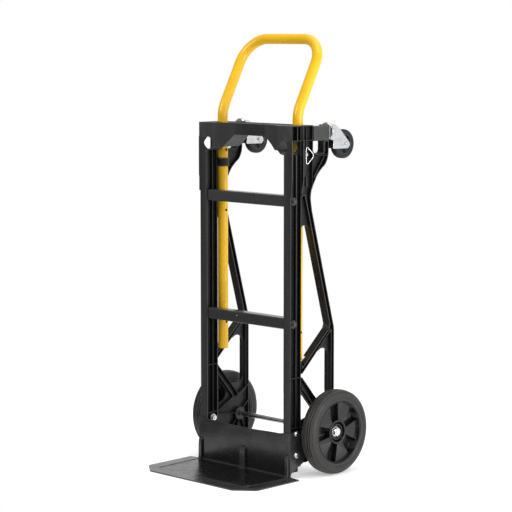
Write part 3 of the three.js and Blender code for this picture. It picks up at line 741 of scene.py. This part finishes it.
# ----- crossmember and crossbars
def top_crossmember():
    """Box open at the rear, arched between its ends, bowed back along its front, with a cup behind each
    round hole and a shallow tray in its top."""
    half, rear, end_z, arch_z, wall = RAIL_IN - 0.5, 92, 987, 1026, 4
    bow = smoothed([(137.5, 0.5), (126, 9), (112, 15.5), (92, 20.5), (64, 23)])
    right = [(half, 0), (138.5, 0), *bow, (0, 23.6)]
    front = right + [(-x, y) for x, y in reversed(right[:-1])]
    side = half + 30
    arch = rounded([(-side, FRAME_TOP), (-side, end_z), (-112, end_z), (-66, arch_z), (66, arch_z),
                    (112, end_z), (side, end_z), (side, FRAME_TOP)], 6)

    def outline(d, to):
        return prism("z", inset([*front, (-half, to), (half, to)], d), end_z - 7, FRAME_TOP)

    hollow = carved([outline(wall, rear + 2 * wall)], inside=[prism("y", inset(arch, wall), -1, rear + 9)])
    cuts = [taken(hollow), block(-150, 150, 28, rear - 2.5, FRAME_TOP - 2.4, FRAME_TOP + 1)]
    cups = []
    for s in (-1, 1):
        at = (s * SOCKET_X, 0, SOCKET_Z)
        cups.append(collar("y", SOCKET_R - 1, SOCKET_R + 3, 1, SOCKET_END, at, 48, 0.3))
        cuts.append(rod("y", SOCKET_R, -5, SOCKET_END + 1, at, 48))
        cuts.append(rod("z", LEG_CLEAR, 900, 1100, (s * LEG_X, LEG_Y, 0), 48))
        cuts.append(block(s * 170 - 8, s * 170 + 8, LEG_Y - LEG_CLEAR, LEG_Y + LEG_CLEAR, 900, 1100))
    shape = carved([outline(0, rear)], inside=[prism("y", arch, -1, rear + 1)])
    nub = rod("y", 3.2, 21.6, 26, (15, 0, 1041.7), 20, 0.8)
    within = block(-half, half, -1, rear + 1, 900, FRAME_TOP)
    return finished(carved([taken(shape), *cups, nub], cuts, [within]), "top_crossmember", 0.9)


def crossbar(level):
    """Folded steel channel, open to the rear, its ends closed by folded tabs."""
    lo, hi = span(f"crossbar_{level}")
    wall = 3
    outer = [*arc(lo.y + 4, hi.z - 4, 4, 90, 180, 6), *arc(lo.y + 4, lo.z + 4, 4, 180, 270, 6),
             (hi.y, lo.z)]
    section = [*outer, (hi.y, lo.z + wall), *reversed(arc(lo.y + 5, lo.z + 5, 2, 180, 270, 4)),
               *reversed(arc(lo.y + 5, hi.z - 5, 2, 90, 180, 4)), (hi.y, hi.z - wall), (hi.y, hi.z)]
    full = [*outer, (hi.y, hi.z)]
    mid = middle(lo, hi)[2]
    solids = [prism("x", section, lo.x, hi.x), prism("x", full, lo.x, lo.x + wall),
              prism("x", full, hi.x - wall, hi.x)]
    cuts = [rod("x", BOLT_HOLE_R, s * hi.x - 8, s * hi.x + 8, (0, BAR_BOLT_Y, mid)) for s in (-1, 1)]
    if level == "lower":
        cuts.append(rod("y", 2.4, lo.y - 2, lo.y + wall + 2, (-39, 0, mid + 4)))
    return finished(carved(solids, cuts), f"crossbar_{level}", 0.5)


# ----- toe plate
def toe_plate():
    """Bent steel plate: folded back with pressed ridges, side wings, and a crease along each side."""
    t, back, bend_r = 4, -0.3, 5
    chamfer_x, chamfer_y = 58, 48
    half, front = toe_hi.x, toe_lo.y
    face = back - t
    frame_half = RAIL_OUT + 0.3 + t
    plate = rounded([(-half, 90), (-half, front + chamfer_y), (chamfer_x - half, front),
                     (half - chamfer_x, front), (half, front + chamfer_y), (half, 90)], 9)
    plan = [(-half, face), *plate[5:-5], (half, face), (frame_half, back), (-frame_half, back)]
    bend = arc(face - bend_r, t + bend_r, bend_r, 0, -90, 8)
    fillet = [(back - 0.5, 0.5), (back - 0.5, 20), (face, 20), *bend, (face - bend_r, 0.5)]
    dip = [(-150 + 300 * i / 12, 132 + 2 * cos(pi * i / 6)) for i in range(13)]
    top = toe_hi.z
    back_plate = [(-frame_half, 1), (frame_half, 1), (frame_half, top - 1), (frame_half - 3, top),
                  *reversed(dip), (3 - frame_half, top), (-frame_half, top - 1)]
    wing = rounded([(face, 2), (back + 4, 16), (60, 47), (60, 140), (face, 140)], 5)

    def ridge(x, width):
        crown = smoothed([(face - 3, 70), (face - 6, 62), (face - 7, 40), (face - 7.4, 16), (face - 9, 7),
                          (face - 13, t + 0.2)])
        side = [(face + 1, t - 1), (face + 1, 74), (face - 0.4, 73), *crown, (face - 14, t - 1)]
        return prism("x", side, x - width / 2, x + width / 2)

    bead_end = frame_half - 6
    bead = lathe("x", [(0, -bead_end), (1.5, 1 - bead_end), (1.5, bead_end - 1), (0, bead_end)],
                 (0, face - 1.2, t + 1.2), 16)
    solids = [prism("z", plan, 0, t), prism("x", fillet, -frame_half, frame_half),
              prism("y", back_plate, face, back), ridge(0, 22), bead]
    for s in (-1, 1):
        solids.append(prism("x", wing, *sorted((s * (RAIL_OUT + 0.3), s * frame_half))))
        solids.append(ridge(s * 187.5, 12))
        crease = [(s * 186, front + 52), (s * 188, front + 50), (s * 196, -17), (s * 193, -15)]
        solids.append(prism("z", crease, t - 1, t + 1))
        solids.append(rod("z", 9, t - 1, t + 0.9, (s * 100 + 72, front + 68, 0), 32, 0.8))
    cuts = [rod("x", BOLT_HOLE_R, s * frame_half - 8, s * frame_half + 8, (0, TOE_BOLT_Y, z))
            for z in TOE_BOLTS for s in (-1, 1)]
    return finished(carved(solids, cuts), "toe_plate", 0.8)


# ----- fasteners
def bolt_mesh(node, corner, flange):
    """Flanged hex bolt along X; its head is outboard."""
    lo, hi, at = on_axis(node)
    face = hi.x - 5.4
    skirt = lathe("x", [(0, face), (flange - 0.4, face), (flange, face + 0.5), (flange - 0.2, face + 1),
                        (corner * 0.92, face + 2), (0, face + 2)], at, 48)
    return unrounded(node, hexagon("x", corner, face + 1.2, hi.x, at), skirt,
                     rod("x", 4, lo.x + 12, face + 0.4, at, 24), thread("x", 4, lo.x, lo.x + 12.2, at))


def nut_mesh(node, corner, bore, washer=0.0):
    """Hex nut along X, on a washer of its own where one is given."""
    lo, hi, at = on_axis(node)
    mid = (lo.x + hi.x) / 2
    solids = [hexagon("x", corner, mid - 0.1, hi.x, at), hexagon("x", corner, mid + 0.1, lo.x, at)]
    if washer:
        solids.append(collar("x", bore - 0.5, washer, hi.x - 1.6, hi.x, at, 48, 0.3))
    return finished(carved(solids, [rod("x", bore, lo.x - 2, hi.x + 2, at)]), node, 0)


def washer_mesh(node, inner):
    lo, hi, at = on_axis(node)
    return unrounded(node, collar("x", inner, (hi.z - lo.z) / 2, lo.x, hi.x, at, 64, 0.4))


def axle_mesh():
    r, end, plain = AXLE_R, AXLE_END, AXLE_THREAD
    return unrounded("axle", rod("x", r, -plain, plain, WHEEL_AT, 48),
                     thread("x", r, plain - 0.2, end, WHEEL_AT, 1.6),
                     thread("x", r, -end, 0.2 - plain, WHEEL_AT, 1.6))


# ----- main wheels
def tyre():
    """Solid tyre: crowned tread with ring grooves, round shoulders, flat side walls with a raised bead."""
    a, b, r = WHEEL_IN, WHEEL_OUT, WHEEL_R
    mid = (a + b) / 2
    outer = [(RIM_R + 0.3, b - 4), (RIM_R + 1, b - 2.4), (RIM_R + 3, b - 1.2), (RIM_R + 6, b - 1.6),
             (RIM_R + 8, b - 1.8), (r - 20, b - 0.4), (r - 16, b), (r - 13, b - 0.4), (r - 10, b - 1.8),
             (r - 8.6, b - 2.2), (r - 8.4, b - 3.4), (r - 6.6, b - 4), (r - 5, b - 4.6), (r - 3.2, b - 6.6),
             (r - 1.8, b - 9), (r - 1.7, b - 10.4), (r - 3.2, b - 10.8), (r - 3.2, b - 12.2),
             (r - 1.1, b - 12.8), (r - 0.4, b - 16), (r - 0.3, b - 17.2), (r - 2.3, b - 17.8),
             (r - 2.3, b - 19.2), (r - 0.2, b - 19.8), (r, mid + 2)]
    inner = [(q, 2 * mid - x) for q, x in reversed(outer)]
    return unrounded("wheel_tyre", lathe("x", outer + inner, WHEEL_AT, 96))


HUB_BORE = 11.6
SPOKES, FIRST_SPOKE = 5, -3
SPOKE_ROOT, SPOKE_TIP, SPOKE_DISH = 35, RIM_R - 4, 3.2


def spoke_outline(angle):
    """One spoke as a wedge, 40 degrees wide at the rim and 30 degrees at its root."""
    outer = arc(AXLE_Y, AXLE_Z, SPOKE_TIP, angle - 20, angle + 20, 10)
    inner = arc(AXLE_Y, AXLE_Z, SPOKE_ROOT, angle + 15, angle - 15, 6)
    return outer + inner


def hub():
    """Deep hub: rim barrel, flat web, broad dished spokes, hub ring and a cup round the nut."""
    a, b, r = WHEEL_IN, WHEEL_OUT, RIM_R
    web, foot, face = 226, 229, 249
    barrel = [(r - 6, a + 5), (r - 3, a + 3), (r, a + 3), (r, b - 2.6), (r - 1, b - 1.8),
              (r - 2.6, b - 2.2), (r - 4, b - 4), (r - 5, b - 8)]
    plate = [(18, web), (SPOKE_TIP, web), (SPOKE_TIP, web + 5), (18, web + 5)]
    ring = [(30, foot), (38, foot), (37, face), (36.4, 251.4), (34.6, 252.4), (32.4, 252.2), (31, 250.6),
            (30, 246)]
    cup = [(17.4, foot), (25, foot), (25, 246.6), (24.2, 248), (22.4, 248.4), (20.6, 247.6), (19.4, 241)]
    rounds = ((barrel, 96), (plate, 96), (ring, 72), (cup, 64))
    solids = [lathe("x", profile, WHEEL_AT, steps) for profile, steps in rounds]
    solids.append(collar("x", HUB_BORE, 24, 205, 240, WHEEL_AT, 64))
    for i in range(SPOKES):
        angle = FIRST_SPOKE + i * 360 / SPOKES
        points, faces = prism("x", rounded(spoke_outline(angle), 3), foot, face)
        dished = []
        for x, y, z in points:
            way = (hypot(y - AXLE_Y, z - AXLE_Z) - SPOKE_ROOT) / (RIM_R - 41)
            dish = SPOKE_DISH * sin(pi * min(1, max(0, way)))
            dished.append((x - dish if x > foot + 1 else x, y, z))
        solids.append((dished, faces))
        tip = arc(AXLE_Y, AXLE_Z, SPOKE_TIP, angle, angle, 1)[0]
        solids.append(rib(HUB, tip, a + 7, web + 1, 4))
    bm = carved(solids, [rod("x", HUB_BORE, 190, 241, WHEEL_AT, 48)])
    return finished(bm, "wheel_hub", 0.9)


# ----- handle
def handle_path():
    """Right leg up from its foot, lean, round corner, and the same down the left side."""
    lean = atan2(GRIP_Y - LEG_Y, GRIP_Z - LEG_BEND)
    start = LEG_BEND - LEAN_R * tan(lean / 2)
    points = [Vector((LEG_X, LEG_Y, z)) for z in (LEG_BOTTOM, LEG_BOTTOM + 3)]
    points += [Vector((LEG_X, LEG_Y + LEAN_R * (1 - cos(t)), start + LEAN_R * sin(t)))
               for t in (lean * i / 12 for i in range(13))]
    up = Vector((0, sin(lean), cos(lean)))
    for i in range(17):
        t = pi / 2 * i / 16
        p = Vector((0, GRIP_Y, GRIP_Z)) + up * CORNER * (sin(t) - 1)
        points.append(Vector((LEG_X - CORNER * (1 - cos(t)), p.y, p.z)))
    return points + [Vector((-p.x, p.y, p.z)) for p in reversed(points)]


def handle():
    """One bent tube, open at both feet, with through holes for the lock pins."""
    tube = sweep(handle_path(), TUBE_R, 40, TUBE_R - TUBE_WALL)
    holes = [rod("x", 4.5, s * LEG_X - 20, s * LEG_X + 20, (0, LEG_Y, z), 24)
             for s in (-1, 1) for z in LEG_HOLES]
    return finished(carved([tube], holes), "handle_tube", 0.35, 1, 50)


def guide():
    """Collar with a lip top and bottom, and the pad that carries it on the web."""
    foot, top, lip = guide_lo.z, guide_hi.z, 19.9
    at = (LEG_X, LEG_Y, 0)
    profile = [(GUIDE_BORE, foot + 1), (17, foot), (lip, foot), (lip, foot + 4), (19.1, foot + 5),
               (19.1, top - 5), (lip, top - 4), (lip, top), (17, top), (GUIDE_BORE, top - 1)]
    pad = block(LEG_X + 12, guide_hi.x, LEG_Y - 12, LEG_Y + 12, foot + 3, top - 3)
    cuts = [rod("z", GUIDE_BORE, 900, 1000, at, 64),
            block(RAIL_IN - 0.3, 200, 0, RAIL_DEPTH + 0.3, 900, 1000)]
    return finished(carved([lathe("z", profile, at, 64), pad], cuts), "handle_guide", 0.3)


# ----- lock pins
def pin_housing():
    lo, hi = span("pin_housing_right")
    profile = [(8.2, lo.x), (10, lo.x), (10, hi.x - 2), (9.6, hi.x - 1.2), (8.4, hi.x), (4.5, hi.x),
               (4.5, hi.x - 1.2), (8.2, hi.x - 1.2)]
    return unrounded("pin_housing", lathe("x", profile, PIN_AT, 48))


def lock_pin():
    """Pin with a tapered tip, a collar for the spring and a cross-drilled head."""
    tip, end, head = pin_lo.x, pin_hi.x, pin_hi.x - 7.5
    profile = [(0, tip), (2.6, tip), (4, tip + 1.7), (4, 181.6), (7.4, 181.6), (7.6, 181.8), (7.6, 182.6),
               (7.4, 182.8), (4, 182.8), (4, head), (5.2, head), (5.6, head + 0.6), (5.6, end - 1.2),
               (4.4, end), (0, end)]
    cross_hole = rod("z", 2.1, -10, 10, (RING_X, LEG_Y, PIN_Z), 24)
    return finished(carved([lathe("x", profile, PIN_AT, 40)], [cross_hole]), "lock_pin", 0.2, 1)


def pin_spring():
    turns, steps, r = 2.5, 96, 5.9
    path = []
    for i in range(steps + 1):
        t = 2 * pi * turns * i / steps
        x = SPRING_START + SPRING_LENGTH * i / steps
        path.append((x, LEG_Y + r * cos(t), PIN_Z + r * sin(t)))
    return unrounded("pin_spring", sweep(path, 0.4, 10))


def pull_ring():
    """Wire ring: a straight side through the pin's head and a bow that rests on the rear flange."""
    bow = smoothed([(0, -19), (1, -25), (6, -28), (14, -20.5), (22, -12), (26, -5), (22.5, 4), (14, 13),
                    (6, 20.5), (1.5, 20.5), (0, 16)], 4)
    path = [(RING_X + y * sin(RING_SWING), LEG_Y + y * cos(RING_SWING), PIN_Z + z)
            for y, z in [(0, -4), *bow, (0, -2)]]
    return unrounded("pull_ring", sweep(path, 1.5, 14))


# ----- casters
def caster_bracket():
    """Moulded block behind the head, hollow from the rear."""
    lo, hi = bracket_lo, bracket_hi
    outline = rounded([(lo.x + 2, lo.z), (hi.x, lo.z), (hi.x, hi.z), (lo.x, hi.z), (lo.x, lo.z + 6)], 3)
    cuts = [block(173, 196, HEAD_REAR + 4, hi.y + 2, lo.z + 4, hi.z - 4),
            rod("y", 9, 90, 200, (CASTER_X, 0, SWIVEL_Z), 40)]
    return finished(carved([prism("y", outline, lo.y, hi.y)], cuts), "caster_bracket", 0.8)


def caster_plate():
    """Zinc plate with its king pin and the fixed half of the swivel race."""
    x, z, y = CASTER_X, SWIVEL_Z, PLATE_Y
    outline = rounded([(x - 28, z - 22), (x + 16, z - 22), (x + 16, z + 20), (x - 28, z + 20)], 4)
    at = (x, 0, z)
    race = lathe("y", [(0, y + 2), (RACE_R - 3, y + 2), (RACE_R - 0.6, y + 2.8), (RACE_R, y + 4),
                       (RACE_R - 0.8, y + 5.2), (RACE_R - 3, y + 5.8), (0, y + 5.8)], at, 72)
    solids = [prism("y", outline, y, y + 3), race, rod("y", 5, y - 12, y + 14, at),
              hexagon("y", 9, y + 13, y + 17, at)]
    return finished(carved(solids), "caster_plate", 0.3, 1)


def caster_fork():
    """Pressed fork: two creased legs joined by a formed cap, with the turning half of the race."""
    x, z, y = CASTER_X, SWIVEL_Z, PLATE_Y
    inner = CASTER_W / 2 + 2
    top, foot = y + 7, CASTER_Z
    leg = [(top, z - 25), (top, z + 22), (188, z + 21), (211, z + 5), (236, foot + 21), (253, foot + 4),
           (255, foot - 4), (247, foot - 13.5), (179, foot - 12.5), (181, foot + 13)]
    leg = rounded(leg, 4, 3)
    cap = [(top, z - 25), (top + 3, z - 25), (top + 3, z + 22), (top, z + 22)]
    r = RACE_R
    race = lathe("y", [(0, y + 6.6), (r - 3, y + 6.6), (r - 1.2, y + 7.2), (r - 0.6, y + 8.2),
                       (r - 1.6, y + 9.2), (r - 5, y + 9.8), (0, y + 9.8)], (x, 0, z), 72)
    crease = rounded([(top + 12, foot + 16), (236, foot + 14), (233, foot + 17), (top + 12, foot + 19)], 1)
    solids = [prism("x", cap, x - inner - 1, x + inner + 1), race]
    for s in (-1, 1):
        near, far = x + s * inner, x + s * (inner + 2.6)
        solids.append(prism("x", leg, *sorted((near, far))))
        solids.append(prism("x", crease, *sorted((far - s * 1.6, far + s * 0.9))))
        solids.append(rod("x", 9, *sorted((far - s, far + s * 0.25)), (0, CASTER_Y, foot), 32))
    cuts = [rod("y", 5.4, 150, 190, (x, 0, z)), rod("x", 4.4, 150, 220, CASTER_AXIS)]
    return finished(carved(solids, cuts), "caster_fork", 0.6)


def caster_axle():
    lo, hi, at = on_axis("caster_axle_right")
    return unrounded("caster_axle", rod("x", 4, lo.x + 8, hi.x - 3.8, at),
                     thread("x", 4, lo.x, lo.x + 8.2, at, 1.1), hexagon("x", 7.5, hi.x - 4.5, hi.x, at))


def caster_tyre():
    h, r = CASTER_W / 2, CASTER_R
    half = [(33.2, h - 1.6), (34, h - 0.4), (35.4, h), (r - 4.4, h - 1), (r - 3, h - 1.7), (r - 1.4, h - 3),
            (r - 0.4, h - 5), (r, h - 7.4)]
    profile = half + [(q, -x) for q, x in reversed(half)]
    return unrounded("caster_tyre", lathe("x", profile, CASTER_AT, 72))


CASTER_SPOKES = 5


def caster_hub():
    """Small hub: rim, mid plate, five wedge spokes on each face and a boss."""
    h = CASTER_W / 2
    reach = (caster_hub_hi.x - caster_hub_lo.x) / 2
    rim = [(27.5, -h + 2.4), (29, -h + 1.5), (33, -h + 1.5), (33, h - 1.5), (29, h - 1.5), (27.5, h - 2.4)]
    plate = [(5, -3), (29, -3), (29, 3), (5, 3)]
    boss = [(4.4, -reach), (10.4, -reach), (11.4, -reach + 1), (12, 0), (11.4, reach - 1), (10.4, reach),
            (4.4, reach)]
    rounds = ((rim, 72), (plate, 72), (boss, 48))
    solids = [lathe("x", profile, CASTER_AT, steps) for profile, steps in rounds]
    for i in range(CASTER_SPOKES):
        angle = 18 + i * 360 / CASTER_SPOKES
        outer = arc(CASTER_Y, CASTER_Z, 29, angle - 20, angle + 20, 8)
        inner = arc(CASTER_Y, CASTER_Z, 11, angle + 20, angle - 20, 4)
        solids.append(prism("x", outer + inner, CASTER_X - h + 4.4, CASTER_X + h - 4.4))
    return finished(carved(solids, [rod("x", 4.4, 150, 220, CASTER_AXIS)]), "caster_hub", 0.5)


# ----- everything in its place
pair("side_frame", "moulding", "frame_nylon", side_frame())
# The crossmember takes the lighter copy of the frame nylon, painted light.
piece("top_crossmember_moulding", "top_crossmember", "frame_nylon", top_crossmember(), "crossmember_nylon_painted_light")
for level in ("upper", "lower"):
    bar_bolt, toe_bolt, toe_nut = f"crossbar_bolt_{level}", f"toe_bolt_{level}", f"toe_nut_{level}"
    piece(f"crossbar_{level}_channel", f"crossbar_{level}", "black_steel", crossbar(level))
    pair(bar_bolt, "fastener", "black_steel", bolt_mesh(bar_bolt + "_right", 6.5, 7.2))
    pair(toe_bolt, "fastener", "zinc", bolt_mesh(toe_bolt + "_right", 8, 9.5))
    pair(toe_nut, "fastener", "zinc", nut_mesh(toe_nut + "_right", 9.4, BOLT_HOLE_R, washer=11.4))
piece("toe_plate_pressing", "toe_plate", "black_steel", toe_plate())
piece("axle_bar", "axle", "zinc", axle_mesh())
pair("axle_spacer", "sleeve", "wheel_plastic", washer_mesh("axle_spacer_right", AXLE_R + 0.3))
pair("axle_washer", "disc", "zinc", washer_mesh("axle_washer_right", AXLE_R + 0.3))
pair("axle_nut", "fastener", "zinc", nut_mesh("axle_nut_right", 13.5, AXLE_R + 0.2))
pair("wheel_bush", "sleeve", "zinc", washer_mesh("wheel_bush_right", AXLE_R + 0.3))
pair("wheel_tyre", "rubber", "tread_rubber", tyre())
pair("wheel_hub", "moulding", "wheel_plastic", hub())
piece("handle_tube_coated", "handle_tube", "handle_yellow", handle())
pair("handle_guide", "collar", "frame_nylon", guide())
pair("pin_housing", "cup", "frame_nylon", pin_housing())
pair("lock_pin", "turned", "zinc", lock_pin())
for spring, side in zip(pair("pin_spring", "wire", "spring_steel", pin_spring()), (1, -1)):
    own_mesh(spring)
pair("pull_ring", "wire", "zinc", pull_ring())
pair("caster_bracket", "moulding", "frame_nylon", caster_bracket())
pair("caster_plate", "pressing", "zinc", caster_plate())
pair("caster_fork", "pressing", "zinc", caster_fork())
pair("caster_axle", "bolt", "zinc", caster_axle())
pair("caster_nut", "fastener", "zinc", nut_mesh("caster_nut_right", 7.5, 4.2))
# The caster tyres take the darker copy of the rubber, painted shade.
pair("caster_tyre", "rubber", "tread_rubber", caster_tyre(), "caster_rubber_painted_shade")
pair("caster_hub", "moulding", "wheel_plastic", caster_hub())


# ----- camera, floor and light
CAMERA_AT, CAMERA_DOWN, CAMERA_TURN, CAMERA_LENS = (4157.9, -4170.5, 1349.1), 6.672, 44.569, 136.9
FLOOR_CENTRE, FLOOR_R = (0.7, 0.7), 1.5


def camera():
    """Long lens from the front right, a little above the handle, looking slightly down."""
    data = bpy.data.cameras.new("camera")
    data.sensor_width = 36
    data.lens = CAMERA_LENS
    data.clip_end = 100
    made = placed("camera", data)
    made.location = Vector(CAMERA_AT) * MM + SHIFT
    made.rotation_euler = (radians(90 - CAMERA_DOWN), 0, radians(CAMERA_TURN))
    bpy.context.scene.camera = made


def floor():
    """Plain pale floor: a disc that reaches further behind and to the right."""
    mesh = bpy.data.meshes.new("floor")
    rim = [(x, y, 0) for x, y in arc(*FLOOR_CENTRE, FLOOR_R, 0, 357, 119)]
    mesh.from_pydata(rim, [], [tuple(range(len(rim)))])
    made = placed("floor", mesh)
    n = Nodes("floor")
    n.set(Base_Color=(0.92, 0.92, 0.92, 1), Roughness=0.9, Specular_IOR_Level=0.1,
          Emission_Color=(1, 1, 1, 1), Emission_Strength=0.3)
    mesh.materials.append(n.material)


def area_light(name, place, target, size, power):
    data = bpy.data.lights.new(name, "AREA")
    data.shape = "RECTANGLE"
    data.size, data.size_y = size
    data.energy = power
    made = placed(name, data)
    made.location = place
    made.rotation_euler = (Vector(target) - Vector(place)).to_track_quat("-Z", "Y").to_euler()


def world():
    """Backdrop: plain white to see; its light is strong behind the truck and weak in front."""
    made = bpy.data.worlds.new("studio")
    made.use_nodes = True
    new, link = made.node_tree.nodes.new, made.node_tree.links.new
    background = made.node_tree.nodes["Background"]
    background.inputs["Color"].default_value = (1, 1, 1, 1)
    where = new("ShaderNodeTexCoord")
    facing = new("ShaderNodeVectorMath")
    facing.operation = "DOT_PRODUCT"
    facing.inputs[1].default_value = (-0.6, -0.8, 0)
    link(where.outputs["Generated"], facing.inputs[0])
    dim = new("ShaderNodeMapRange")
    for name, value in (("From Min", -0.3), ("From Max", 0.8), ("To Min", 0.95), ("To Max", 0.2)):
        dim.inputs[name].default_value = value
    link(facing.outputs["Value"], dim.inputs["Value"])
    seen = new("ShaderNodeLightPath")
    level = new("ShaderNodeMath")
    level.operation = "MAXIMUM"
    link(dim.outputs["Result"], level.inputs[0])
    link(seen.outputs["Is Camera Ray"], level.inputs[1])
    link(level.outputs["Value"], background.inputs["Strength"])
    bpy.context.scene.world = made


def lights():
    """Soft lights on the right, above and in front, and the white surroundings."""
    world()
    area_light("key", (3.6, 0.5, 0.9), (0, 0, 0.5), (1.6, 1.6), 70)
    area_light("top", (0.2, 0.4, 3.6), (0, 0, 0.4), (2.4, 2.4), 30)
    area_light("fill", (-1.2, -3.2, 2.8), (0, 0, 1.0), (1.6, 1.6), 70)


camera()
floor()
lights()
bpy.context.scene.view_settings.view_transform = "Standard"
